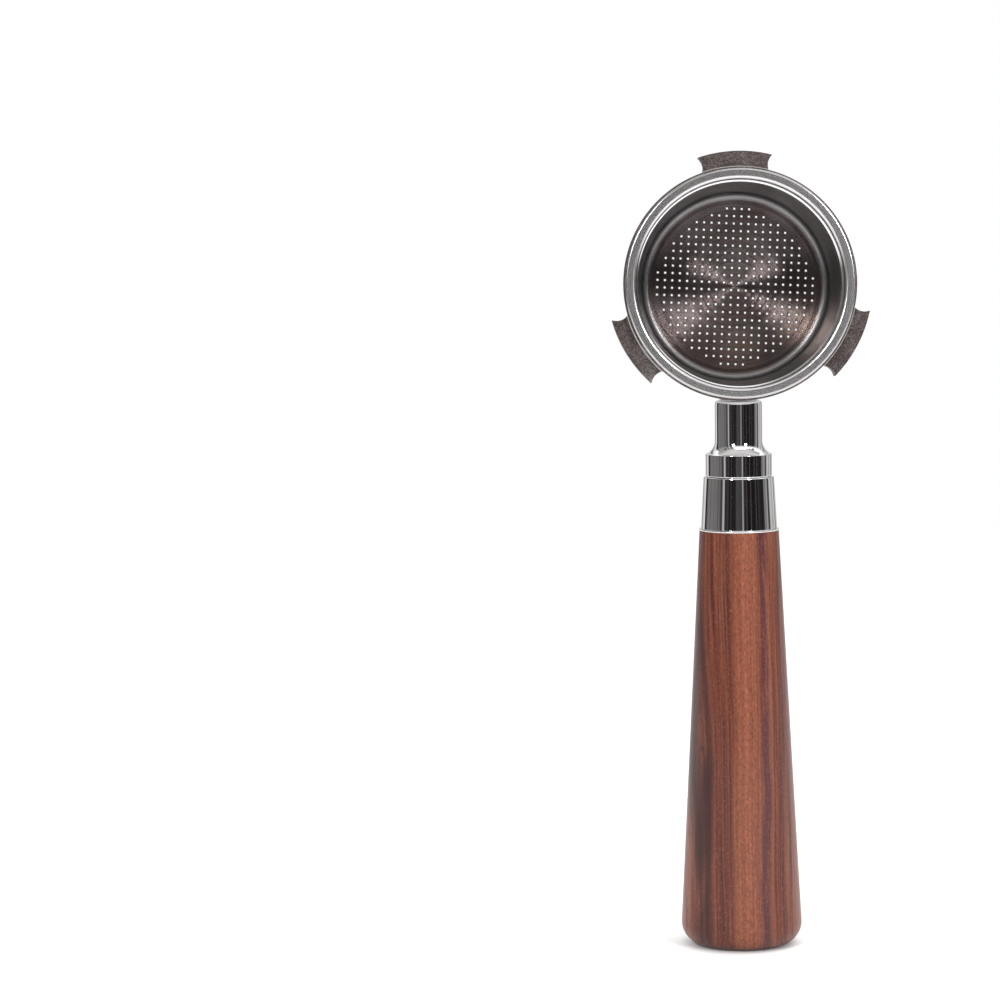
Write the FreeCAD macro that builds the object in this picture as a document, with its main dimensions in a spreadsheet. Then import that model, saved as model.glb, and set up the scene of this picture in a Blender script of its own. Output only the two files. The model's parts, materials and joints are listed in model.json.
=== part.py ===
import FreeCAD, Part
import math
import os
import Sketcher

# Portafilter with an open-bottomed head, a drop-in filter basket and a screw-on wooden grip.
#
# The frame has +Z up the handle and its origin in the middle of the grip's flat end, on which
# it stands. The basket's mouth faces -Y and looks a little upwards. Lengths are in millimetres
# and angles in degrees.
#
# The head's pieces are drawn in the head's own frame: Z out of the mouth, origin where the
# handle's axis meets the mouth's axis.

SIZES = {
    # head
    "mouth_tilt": 3.7,           # how far the mouth looks up from level
    "ring_wall": 2.4,
    "ring_front": 11.4,          # handle's axis to the ring's front face
    "ring_back": 13.0,           # handle's axis to the ring's back face
    "ring_edge": 0.5,            # chamfer on the ring's corners
    "ring_draft": 1.15,          # how much the ring's outside draws in towards its back
    # bayonet lugs
    "lug_reach": 4.2,            # how far a lug stands out from the ring
    "lug_span": 32.5,
    "lug_thickness": 5.5,
    "lug_setback": 1.4,          # ring's front face to the lugs' front faces
    "lug_waist": 2.8,            # lug's tip down to the narrowest part of its neck
    "lug_scallop": 3.62,         # radius of the hollow in each side of a lug
    "lug_root": 0.6,             # how deep a lug's foot goes into the ring
    "lug_turn": 1.5,             # the lugs' turn away from square to the handle
    # basket retaining spring
    "spring_wire": 0.7,          # radius of the wire
    "spring_gap": 24.0,          # angle between the wire's two ends
    "spring_seat": 0.1,          # between the wire and the basket's bead
    "spring_play": 0.2,          # between the wire and the sides of its groove
    "spring_room": 0.35,         # between the wire and the bottom of its groove
    # filter basket
    "basket_sheet": 0.7,
    "basket_play": 0.4,          # between the basket's throat and the ring
    "rim_land": 1.3,             # width of the rim's flat
    "rim_thickness": 1.6,
    "rim_round": 0.6,
    "shoulder_round": 1.1,       # rounding from the rim down into the mouth
    "throat_step": 0.2,          # how much wider the throat above the bead is than the bore
    "bead_setdown": 4.2,         # rim plane to the middle of the bead
    "bead_width": 2.4,
    "bead_round": 2.6,           # the bead's rounding, which sets how far it stands in
    "bore_radius": 27.3,         # inside, where a tamper runs
    "bore_length": 6.0,
    "wall_taper": 1.9,           # how much the wall draws in below the bore
    "toe_round": 2.2,            # corner between the wall and the floor
    "basket_depth": 24.0,        # rim plane to the floor
    "hole_radius": 0.3,
    "hole_pitch": 2.0,
    "hole_turn": -2.9,           # the hole rows' turn away from square to the handle
    # neck
    "neck_radius": 6.35,
    "neck_length": 10.9,         # flare to the neck's rounded end
    "neck_round": 1.0,           # rounding at the neck's end
    "spigot_radius": 5.0,        # the end that meets the ring
    "spigot_length": 0.2,        # neck's rounded end to the level of the ring's front edge
    "collar_radius": 8.9,
    "collar_length": 6.0,
    "flare_length": 3.2,
    "flare_round": 4.1,
    "neck_edge": 0.35,
    # stud
    "stud_radius": 4.0,
    "stud_in_neck": 14.0,
    "stud_reach": 25.0,          # collar's underside to the stud's lower end
    "stud_edge": 0.8,
    "thread_play": 0.04,         # stud to the threads that it runs in, measured on radius
    # ferrule
    "ferrule_top": 9.45,
    "ferrule_bottom": 10.2,
    "ferrule_length": 14.0,
    "ferrule_web": 2.5,          # thickness of the closed top
    "ferrule_edge": 0.3,
    "ferrule_hole_play": 0.3,
    # trim ring between ferrule and grip
    "trim_radius": 10.75,
    "trim_thickness": 0.5,
    "trim_round": 0.15,
    # wooden grip
    "grip_length": 112.6,        # handle's end to the wood's shoulder
    "grip_top": 10.66,
    "grip_foot": 16.6,           # the side's radius run down to the flat end
    "grip_round": 6.0,
    "grip_edge": 0.25,
    "tenon_radius": 8.0,
    "tenon_play": 0.2,
    "tenon_gap": 0.5,            # tenon's end to the ferrule's closed top
    # threaded insert in the wood
    "insert_radius": 6.0,
    "insert_length": 25.0,
    "insert_seat": 0.03,         # glue line around the insert
    "drill_room": 2.0,           # wood's hole beyond the insert and the stud
}

LUG_COUNT = 3
HOLE_ROWS = 22
SAME_PLACE = 0.001       # nearer than this, in millimetres, two edges are the same
HOLES_REACH = 103        # a hole's squared distance from the middle, in pitches
SIDE_HOLES = 1.5         # the outermost rows hold only what lies this close to their middle
DRILL_POINT = 59         # half the angle of a drill's point


class Size:
    """A number together with the sheet expression that gives it."""

    def __init__(self, value, text):
        self.value = value
        self.text = text

    def __add__(self, other):
        other = as_size(other)
        return Size(self.value + other.value, "(%s + %s)" % (self.text, other.text))

    def __sub__(self, other):
        other = as_size(other)
        return Size(self.value - other.value, "(%s - %s)" % (self.text, other.text))

    def __mul__(self, other):
        other = as_size(other)
        return Size(self.value * other.value, "(%s * %s)" % (self.text, other.text))

    def __truediv__(self, other):
        other = as_size(other)
        return Size(self.value / other.value, "(%s / %s)" % (self.text, other.text))

    def __radd__(self, other):
        return as_size(other) + self

    def __rsub__(self, other):
        return as_size(other) - self

    def __neg__(self):
        return as_size(0) - self

    def sin(self):
        return Size(math.sin(math.radians(self.value)), "sin(%s)" % self.text)

    def cos(self):
        return Size(math.cos(math.radians(self.value)), "cos(%s)" % self.text)


def as_size(number):
    return number if isinstance(number, Size) else Size(number, str(number))


def root(size):
    return Size(math.sqrt(size.value), "sqrt(%s)" % size.text)


doc = FreeCAD.newDocument("Portafilter")


def size_sheet():
    """Writes the driving sizes to the sheet and returns them as Size values by name."""
    sheet = doc.addObject("Spreadsheet::Sheet", "Sizes")
    named = {}
    for row, (name, value) in enumerate(SIZES.items(), start=1):
        sheet.set("A%d" % row, name)
        sheet.set("B%d" % row, str(value))
        sheet.setAlias("B%d" % row, name)
        named[name] = Size(value, "Sizes.%s" % name)
    doc.recompute()
    return named


S = size_sheet()

# Radii about the mouth's axis, from the basket's bore outwards
throat = S["bore_radius"] + S["throat_step"]
rim_radius = throat + S["shoulder_round"] + S["rim_land"] + S["rim_round"]
ring_bore = throat + S["basket_sheet"] + S["basket_play"]
ring_radius = ring_bore + S["ring_wall"]
back_radius = ring_radius - S["ring_draft"]
lug_radius = ring_radius + S["lug_reach"]

# Places along the mouth's axis
rim_plane = S["ring_front"] + S["rim_thickness"]
bead_middle = rim_plane - S["bead_setdown"]

# How far the bead stands into the basket, and the wire that sits in it from outside
bead_chord = S["bead_width"] * S["bead_width"] + S["throat_step"] * S["throat_step"]
bead_sag = S["bead_round"] - root(S["bead_round"] * S["bead_round"] - bead_chord / 4)
bead_bottom = throat - S["throat_step"] / 2 - bead_sag + S["basket_sheet"]
wire_circle = bead_bottom + S["spring_seat"] + S["spring_wire"]

# Heights along the handle
trim_top = S["grip_length"] + S["trim_thickness"]
ferrule_head = trim_top + S["ferrule_length"]
tenon_end = ferrule_head - S["ferrule_web"] - S["tenon_gap"]
collar_top = ferrule_head + S["collar_length"]
flare_top = collar_top + S["flare_length"]
neck_end = flare_top + S["neck_length"]
head_height = neck_end + S["spigot_length"] + ring_radius


def bind(thing, prop, size):
    """Ties a property to the sheet."""
    thing.setExpression(prop, as_size(size).text)


def in_head(thing):
    """Places a piece that is drawn in the head's frame."""
    upright = FreeCAD.Rotation(FreeCAD.Vector(1, 0, 0), 90 - S["mouth_tilt"].value)
    thing.Placement = FreeCAD.Placement(FreeCAD.Vector(0, 0, head_height.value), upright)
    bind(thing, "Placement.Base.z", head_height)
    bind(thing, "Placement.Rotation.Angle", 90 - S["mouth_tilt"])


def new_body(label):
    body = doc.addObject("PartDesign::Body", label)
    body.Label = label
    return body


def new_sketch(body, name, role):
    """A sketch on one of the body's own origin planes."""
    sketch = body.newObject("Sketcher::SketchObject", name)
    plane = [p for p in body.Origin.OriginFeatures if p.Role == role][0]
    sketch.AttachmentSupport = (plane, [""])
    sketch.MapMode = "FlatFace"
    return sketch


def fix(sketch, kind, *where, size):
    """Adds a dimension whose value comes from the sheet."""
    number = sketch.addConstraint(Sketcher.Constraint(kind, *where, size.value))
    bind(sketch, "Constraints[%d]" % number, size)


def place_point(sketch, curve, end, across, up):
    """Fixes a point's two coordinates, on an axis where one of them is nothing."""
    for kind, axis, where in (("DistanceX", -2, across), ("DistanceY", -1, up)):
        if isinstance(where, Size):
            fix(sketch, kind, -1, 1, curve, end, size=where)
        else:
            sketch.addConstraint(Sketcher.Constraint("PointOnObject", curve, end, axis))


def arc_between(first, last, radius, side):
    """The shorter arc between two points, bulging to the left (1) or right (-1) of the run."""
    chord = last - first
    sag = radius - math.sqrt(radius ** 2 - (chord.Length / 2) ** 2)
    left = FreeCAD.Vector(-chord.y, chord.x, 0).normalize()
    return Part.Arc(first, (first + last) / 2 + left * (sag * side), last)


def outline(sketch, corners):
    """A closed outline. Each corner is (across, up), with (radius, side) added where the run
    that leaves it is an arc."""
    points = [FreeCAD.Vector(as_size(c[0]).value, as_size(c[1]).value, 0) for c in corners]
    ends = []
    for number, corner in enumerate(corners):
        first = points[number]
        last = points[(number + 1) % len(points)]
        if len(corner) == 2:
            sketch.addGeometry(Part.LineSegment(first, last))
            ends.append((1, 2))
            continue
        radius, side = corner[2]
        sketch.addGeometry(arc_between(first, last, radius.value, side))
        # a sketch keeps every arc anticlockwise, so its ends may be the other way round
        ends.append((1, 2) if side < 0 else (2, 1))
    for number, corner in enumerate(corners):
        after = (number + 1) % len(corners)
        join = Sketcher.Constraint("Coincident", number, ends[number][1], after, ends[after][0])
        sketch.addConstraint(join)
        place_point(sketch, number, ends[number][0], corner[0], corner[1])
        if len(corner) == 3:
            fix(sketch, "Radius", number, size=corner[2][0])


def turned(label, corners, angle=None):
    """A body turned about its own Z axis from an outline of (radius, height) corners."""
    body = new_body(label)
    sketch = new_sketch(body, label + "_section", "XZ_Plane")
    outline(sketch, corners)
    turn = body.newObject("PartDesign::Revolution", label + "_turning")
    turn.Profile = sketch
    turn.ReferenceAxis = (sketch, ["V_Axis"])
    turn.Angle = 360
    if angle is not None:
        bind(turn, "Angle", angle)
    doc.recompute()
    return body


def edges_on_circle(feature, radius, height):
    """Names of a feature's circular edges of one radius about Z at one height."""
    names = []
    for number, edge in enumerate(feature.Shape.Edges, start=1):
        curve = edge.Curve
        if isinstance(curve, Part.Circle):
            level = abs(curve.Center.z - height.value) < SAME_PLACE
            if level and abs(curve.Radius - radius.value) < SAME_PLACE:
                names.append("Edge%d" % number)
    return names


def lug_outline(sketch):
    """One lug's outline at the top of the ring: an arc outside and in, and two hollow sides."""
    half = S["lug_span"] / 2
    tip_across = lug_radius * half.sin()
    tip_up = lug_radius * half.cos()
    waist_up = tip_up - S["lug_waist"]
    reach = root(S["lug_scallop"] * S["lug_scallop"] - S["lug_waist"] * S["lug_waist"])
    hollow_across = tip_across + reach
    foot = ring_radius - S["lug_root"]

    # where a hollow side meets the foot's circle
    out = math.hypot(hollow_across.value, waist_up.value)
    opening = (out ** 2 + foot.value ** 2 - S["lug_scallop"].value ** 2) / (2 * out * foot.value)
    bearing = math.atan2(hollow_across.value, waist_up.value) - math.acos(opening)
    foot_right = FreeCAD.Vector(math.sin(bearing), math.cos(bearing), 0) * foot.value
    tip_right = FreeCAD.Vector(tip_across.value, tip_up.value, 0)
    waist_right = FreeCAD.Vector(hollow_across.value - S["lug_scallop"].value, waist_up.value, 0)

    def left(point):
        return FreeCAD.Vector(-point.x, point.y, point.z)

    top = FreeCAD.Vector(0, lug_radius.value, 0)
    bottom = FreeCAD.Vector(0, foot.value, 0)
    outer = sketch.addGeometry(Part.Arc(tip_right, top, left(tip_right)))
    left_side = sketch.addGeometry(Part.Arc(left(foot_right), left(waist_right), left(tip_right)))
    inner = sketch.addGeometry(Part.Arc(foot_right, bottom, left(foot_right)))
    right_side = sketch.addGeometry(Part.Arc(tip_right, waist_right, foot_right))

    # ends: 1 is an arc's start, 2 its end and 3 its centre, and arcs run anticlockwise
    joins = (
        (outer, 1, right_side, 1), (right_side, 2, inner, 1),
        (outer, 2, left_side, 2), (left_side, 1, inner, 2),
    )
    for join in joins:
        sketch.addConstraint(Sketcher.Constraint("Coincident", *join))
    for arc, radius in ((outer, lug_radius), (inner, foot)):
        sketch.addConstraint(Sketcher.Constraint("Coincident", arc, 3, -1, 1))
        fix(sketch, "Radius", arc, size=radius)
    for side, sign in ((right_side, 1), (left_side, -1)):
        fix(sketch, "Radius", side, size=S["lug_scallop"])
        fix(sketch, "DistanceY", -1, 1, side, 3, size=waist_up)
        fix(sketch, "DistanceX", -1, 1, side, 3, size=hollow_across * sign)


def make_head_ring():
    """The open ring that carries the basket, with its groove for the spring and its lugs."""
    edge = S["ring_edge"]
    groove_half = S["spring_wire"] + S["spring_play"]
    groove_bottom = wire_circle + S["spring_wire"] + S["spring_room"]
    back = -S["ring_back"]
    ring = turned("head_ring", [
        (ring_bore + edge, back),
        (back_radius - edge, back),
        (back_radius, back + edge),
        (ring_radius, S["ring_front"] - edge),
        (ring_radius - edge, S["ring_front"]),
        (ring_bore + edge, S["ring_front"]),
        (ring_bore, S["ring_front"] - edge),
        (ring_bore, bead_middle + groove_half),
        (groove_bottom, bead_middle + groove_half),
        (groove_bottom, bead_middle - groove_half),
        (ring_bore, bead_middle - groove_half),
        (ring_bore, back + edge),
    ])
    sketch = new_sketch(ring, "lug_shape", "XY_Plane")
    lug_face = S["ring_front"] - S["lug_setback"]
    bind(sketch, "AttachmentOffset.Base.z", lug_face - S["lug_thickness"])
    bind(sketch, "AttachmentOffset.Rotation.Angle", S["lug_turn"])
    lug_outline(sketch)
    lug = ring.newObject("PartDesign::Pad", "lug")
    lug.Profile = sketch
    bind(lug, "Length", S["lug_thickness"])
    doc.recompute()
    lugs = ring.newObject("PartDesign::PolarPattern", "lugs")
    lugs.Originals = [lug]
    lugs.Axis = ([a for a in ring.Origin.OriginFeatures if a.Role == "Z_Axis"][0], [""])
    lugs.Angle = 360
    lugs.Occurrences = LUG_COUNT
    ring.Tip = lugs
    in_head(ring)
    return ring


def make_spring():
    """The split wire ring that snaps into the basket's bead."""
    body = new_body("basket_spring")
    sketch = new_sketch(body, "spring_section", "XZ_Plane")
    middle = FreeCAD.Vector(wire_circle.value, bead_middle.value, 0)
    up = FreeCAD.Vector(0, 0, 1)
    wire = sketch.addGeometry(Part.Circle(middle, up, S["spring_wire"].value))
    fix(sketch, "Radius", wire, size=S["spring_wire"])
    place_point(sketch, wire, 3, wire_circle, bead_middle)
    turn = body.newObject("PartDesign::Revolution", "spring_turning")
    turn.Profile = sketch
    turn.ReferenceAxis = (sketch, ["V_Axis"])
    bind(turn, "Angle", 360 - S["spring_gap"])
    in_head(body)
    return body


def hole_places():
    """Middles of the floor's holes, in pitches: a square grid inside a circle, and a short
    row on each of the four sides."""
    half = HOLE_ROWS / 2
    steps = [row + 0.5 - half for row in range(HOLE_ROWS)]
    last = steps[-1]
    places = []
    for across in steps:
        for up in steps:
            inside = across ** 2 + up ** 2 <= HOLES_REACH
            side_row = last in (abs(across), abs(up)) and min(abs(across), abs(up)) <= SIDE_HOLES
            if inside or side_row:
                places.append((across, up))
    return places


def make_hole_punch():
    """All the pins that pierce the basket's floor, as one tool."""
    pins = []
    pitch = S["hole_pitch"].value
    floor = (rim_plane - S["basket_depth"]).value
    sheet = S["basket_sheet"].value
    # each pin stands one sheet below the floor's underside and one above its top
    low = floor - 2 * sheet
    high = floor + sheet
    for across, up in hole_places():
        foot = FreeCAD.Vector(across * pitch, up * pitch, low)
        pins.append(Part.makeCylinder(S["hole_radius"].value, high - low, foot))
    punch = doc.addObject("Part::Feature", "hole_punch")
    turn = FreeCAD.Rotation(FreeCAD.Vector(0, 0, 1), S["hole_turn"].value)
    rows = Part.Compound(pins)
    rows.Placement = FreeCAD.Placement(FreeCAD.Vector(), turn)
    punch.Shape = Part.Compound([rows])
    in_head(punch)
    return punch


def make_basket():
    """The pressed steel basket: rolled rim, bead, tapered wall and pierced floor."""
    sheet = S["basket_sheet"]
    floor = rim_plane - S["basket_depth"]
    half_bead = S["bead_width"] / 2
    bead = S["bead_round"]
    bore_end = bead_middle - half_bead - S["bore_length"]
    land = throat + S["shoulder_round"]
    shoulder = S["shoulder_round"]
    throat_out = throat + sheet
    bore_out = S["bore_radius"] + sheet
    toe = S["bore_radius"] - S["wall_taper"]
    toe_out = toe + sheet
    corner = S["toe_round"]
    corner_out = S["toe_round"] + sheet
    lip = S["rim_round"]
    body = turned("filter_basket", [
        # inside, from the middle of the floor up to the rim
        (0, floor),
        (toe - corner, floor, (corner, -1)),
        (toe, floor + corner),
        (S["bore_radius"], bore_end),
        (S["bore_radius"], bead_middle - half_bead, (bead, 1)),
        (throat, bead_middle + half_bead),
        (throat, rim_plane - shoulder, (shoulder, 1)),
        (land, rim_plane),
        # round the rim
        (rim_radius - lip, rim_plane, (lip, 1)),
        (rim_radius, rim_plane - lip),
        (rim_radius, S["ring_front"]),
        # outside, back down to the floor
        (throat_out, S["ring_front"]),
        (throat_out, bead_middle + half_bead, (bead, -1)),
        (bore_out, bead_middle - half_bead),
        (bore_out, bore_end),
        (toe_out, floor + corner, (corner_out, 1)),
        (toe_out - corner_out, floor - sheet),
        (0, floor - sheet),
    ])
    in_head(body)
    body.Label = "basket_pressing"
    pierced = doc.addObject("Part::Cut", "filter_basket_pierced")
    pierced.Base = body
    pierced.Tool = make_hole_punch()
    pierced.Label = "filter_basket"
    return pierced


def make_neck():
    """The chromed neck: spigot against the ring, rounded end, flare, collar and blind hole."""
    hole = S["stud_radius"] + S["thread_play"]
    hole_top = ferrule_head + S["stud_in_neck"]
    point = hole / math.tan(math.radians(DRILL_POINT))
    edge = S["neck_edge"]
    end_round = S["neck_round"]
    body = turned("neck", [
        (hole, ferrule_head),
        (S["collar_radius"] - edge, ferrule_head),
        (S["collar_radius"], ferrule_head + edge),
        (S["collar_radius"], collar_top, (S["flare_round"], 1)),
        (S["neck_radius"], flare_top),
        (S["neck_radius"], neck_end - end_round, (end_round, -1)),
        (S["neck_radius"] - end_round, neck_end),
        (S["spigot_radius"], neck_end),
        (S["spigot_radius"], head_height - ring_bore),
        (0, head_height - ring_bore),
        (0, hole_top + point),
        (hole, hole_top),
    ])
    body.Label = "neck_turning"
    # the ring's own outside between its chamfers, which starts behind the handle's axis
    saddle = doc.addObject("Part::Cone", "ring_saddle")
    bind(saddle, "Radius1", back_radius)
    bind(saddle, "Radius2", ring_radius)
    bind(saddle, "Height", S["ring_front"] + S["ring_back"] - S["ring_edge"] * 2)
    in_head(saddle)
    behind = S["ring_back"] - S["ring_edge"]
    bind(saddle, "Placement.Base.y", behind * S["mouth_tilt"].cos())
    bind(saddle, "Placement.Base.z", head_height - behind * S["mouth_tilt"].sin())
    neck = doc.addObject("Part::Cut", "neck_saddled")
    neck.Base = body
    neck.Tool = saddle
    neck.Label = "neck"
    return neck


def make_stud():
    """The threaded stud, drawn at the thread's full diameter."""
    edge = S["stud_edge"]
    low = ferrule_head - S["stud_reach"]
    high = ferrule_head + S["stud_in_neck"]
    return turned("neck_stud", [
        (0, low),
        (S["stud_radius"] - edge, low),
        (S["stud_radius"], low + edge),
        (S["stud_radius"], high - edge),
        (S["stud_radius"] - edge, high),
        (0, high),
    ])


def make_ferrule():
    """The tapered chromed cap over the grip's tenon."""
    edge = S["ferrule_edge"]
    hole = S["stud_radius"] + S["ferrule_hole_play"]
    socket = S["tenon_radius"] + S["tenon_play"]
    web = ferrule_head - S["ferrule_web"]
    return turned("ferrule", [
        (hole, ferrule_head),
        (hole, web),
        (socket, web),
        (socket, trim_top),
        (S["ferrule_bottom"], trim_top),
        (S["ferrule_top"], ferrule_head - edge),
        (S["ferrule_top"] - edge, ferrule_head),
    ])


def make_trim_ring():
    """The thin bright ring between ferrule and wood."""
    round_off = S["trim_round"]
    socket = S["tenon_radius"] + S["tenon_play"]
    return turned("trim_ring", [
        (socket, S["grip_length"]),
        (S["trim_radius"] - round_off, S["grip_length"], (round_off, -1)),
        (S["trim_radius"], S["grip_length"] + round_off),
        (S["trim_radius"], trim_top - round_off, (round_off, -1)),
        (S["trim_radius"] - round_off, trim_top),
        (socket, trim_top),
    ])


def make_grip():
    """The turned wooden grip with its tenon and the hole for the insert."""
    hole = S["insert_radius"] + S["insert_seat"]
    hole_end = tenon_end - S["insert_length"] - S["drill_room"]
    edge = S["grip_edge"]
    point = hole / math.tan(math.radians(DRILL_POINT))
    grip = turned("grip", [
        (0, 0),
        (S["grip_foot"], 0),
        (S["grip_top"], S["grip_length"] - edge),
        (S["grip_top"] - edge, S["grip_length"]),
        (S["tenon_radius"], S["grip_length"]),
        (S["tenon_radius"], tenon_end),
        (hole, tenon_end),
        (hole, hole_end),
        (0, hole_end - point),
    ])
    turning = grip.Tip
    rounding = grip.newObject("PartDesign::Fillet", "grip_end_rounding")
    rounding.Base = (turning, edges_on_circle(turning, S["grip_foot"], as_size(0)))
    bind(rounding, "Radius", S["grip_round"])
    return grip


def make_insert():
    """The brass insert that the stud screws into."""
    bore = S["stud_radius"] + S["thread_play"]
    low = tenon_end - S["insert_length"]
    edge = S["stud_edge"]
    return turned("grip_insert", [
        (bore, low),
        (S["insert_radius"] - edge, low),
        (S["insert_radius"], low + edge),
        (S["insert_radius"], tenon_end),
        (bore + edge, tenon_end),
        (bore, tenon_end - edge),
    ])


def check_document():
    """Stops if any object failed to build."""
    for thing in doc.Objects:
        broken = [state for state in thing.State if state in ("Invalid", "Error")]
        if broken:
            raise RuntimeError("%s is %s" % (thing.Name, broken))


def write_parts(parts):
    """Checks each piece's shape and writes it to its own file."""
    os.makedirs("parts", exist_ok=True)
    for part in parts:
        if part.Shape.isNull() or not part.Shape.isValid():
            raise RuntimeError("%s has no valid shape" % part.Label)
    for part in parts:
        part.Shape.exportStep("parts/%s.step" % part.Label)
        print("%-14s %8.1f mm3" % (part.Label, part.Shape.Volume))


pieces = [
    make_head_ring(),
    make_spring(),
    make_basket(),
    make_neck(),
    make_stud(),
    make_ferrule(),
    make_trim_ring(),
    make_grip(),
    make_insert(),
]
doc.recompute()
check_document()
write_parts(pieces)
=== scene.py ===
import bpy
import bmesh
import json
import math
from mathutils import Matrix, Vector


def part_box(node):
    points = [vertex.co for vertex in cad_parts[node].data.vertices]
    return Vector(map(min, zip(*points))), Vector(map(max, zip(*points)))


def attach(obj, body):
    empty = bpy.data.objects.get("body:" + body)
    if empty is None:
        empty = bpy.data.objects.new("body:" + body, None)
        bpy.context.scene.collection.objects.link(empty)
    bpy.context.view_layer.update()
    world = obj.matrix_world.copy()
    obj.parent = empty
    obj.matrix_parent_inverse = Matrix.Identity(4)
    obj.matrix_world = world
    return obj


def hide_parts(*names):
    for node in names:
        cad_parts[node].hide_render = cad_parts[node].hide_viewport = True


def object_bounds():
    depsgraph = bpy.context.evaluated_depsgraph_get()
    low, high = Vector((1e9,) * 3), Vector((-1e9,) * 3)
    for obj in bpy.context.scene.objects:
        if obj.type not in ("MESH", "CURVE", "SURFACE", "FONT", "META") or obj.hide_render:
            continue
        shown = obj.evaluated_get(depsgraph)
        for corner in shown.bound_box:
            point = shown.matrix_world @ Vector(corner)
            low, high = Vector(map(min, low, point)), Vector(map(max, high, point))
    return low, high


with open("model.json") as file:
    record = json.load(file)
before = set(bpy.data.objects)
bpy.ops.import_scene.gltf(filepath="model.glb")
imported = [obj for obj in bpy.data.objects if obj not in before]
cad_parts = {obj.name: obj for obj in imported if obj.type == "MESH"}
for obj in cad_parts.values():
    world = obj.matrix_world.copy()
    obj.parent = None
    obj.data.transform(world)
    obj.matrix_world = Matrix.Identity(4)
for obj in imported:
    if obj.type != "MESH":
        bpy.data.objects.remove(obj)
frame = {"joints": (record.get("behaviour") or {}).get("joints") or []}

# The looks of a portafilter with an open-bottomed head, a drop-in filter basket and a screw-on
# rosewood grip. Lengths in the sections below are in millimetres; meshes are in metres.

MM = 0.001
WHITE = (1.0, 1.0, 1.0)
ORIGIN = (0.0, 0.0, 0.0)
CAD_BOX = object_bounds()
JOINTS = {joint["name"]: joint for joint in frame["joints"]}
MOUTH_AXIS = Vector(JOINTS["basket_turn"]["axis"])
MOUTH_CENTRE = Vector(JOINTS["basket_turn"]["pos_m"])
MOUTH_TILT = math.asin(MOUTH_AXIS.z)
HEAD_TURN = math.pi / 2 - MOUTH_TILT
HEAD_PLACE = Matrix.Translation(MOUTH_CENTRE) @ Matrix.Rotation(HEAD_TURN, 4, "X")
HANDLE_AXIS = (0.0, 0.0, 1.0)

# Sizes that several pieces or finishes share. In the head they are radii about the mouth's axis
# and heights along it, measured from the middle of the head.
RING_FRONT = 31.0       # the ring's outside at its front edge
RING_BACK = 29.85       # and at its back edge
RING_TOP = 11.4         # the ring's front face, which the basket's rim lies on
RING_DEPTH = 24.4
LUG_TIP = 35.2
SPRING_HEIGHT = 8.8     # the middle of the spring and of its groove
FLOOR = -11.0           # the top of the basket's floor
MOUTH_RADIUS = 27.3     # the basket's inside
STUD_BORE = 4.04        # the hole for the stud, in the neck and in the insert


def box_mm(node):
    """A node's lowest and highest corners in millimetres."""
    low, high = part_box(node)
    return low / MM, high / MM


def add_object(name, data):
    """A new object in the scene."""
    thing = bpy.data.objects.new(name, data)
    bpy.context.scene.collection.objects.link(thing)
    return thing


# ---------------------------------------------------------------- nodes and arithmetic

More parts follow.
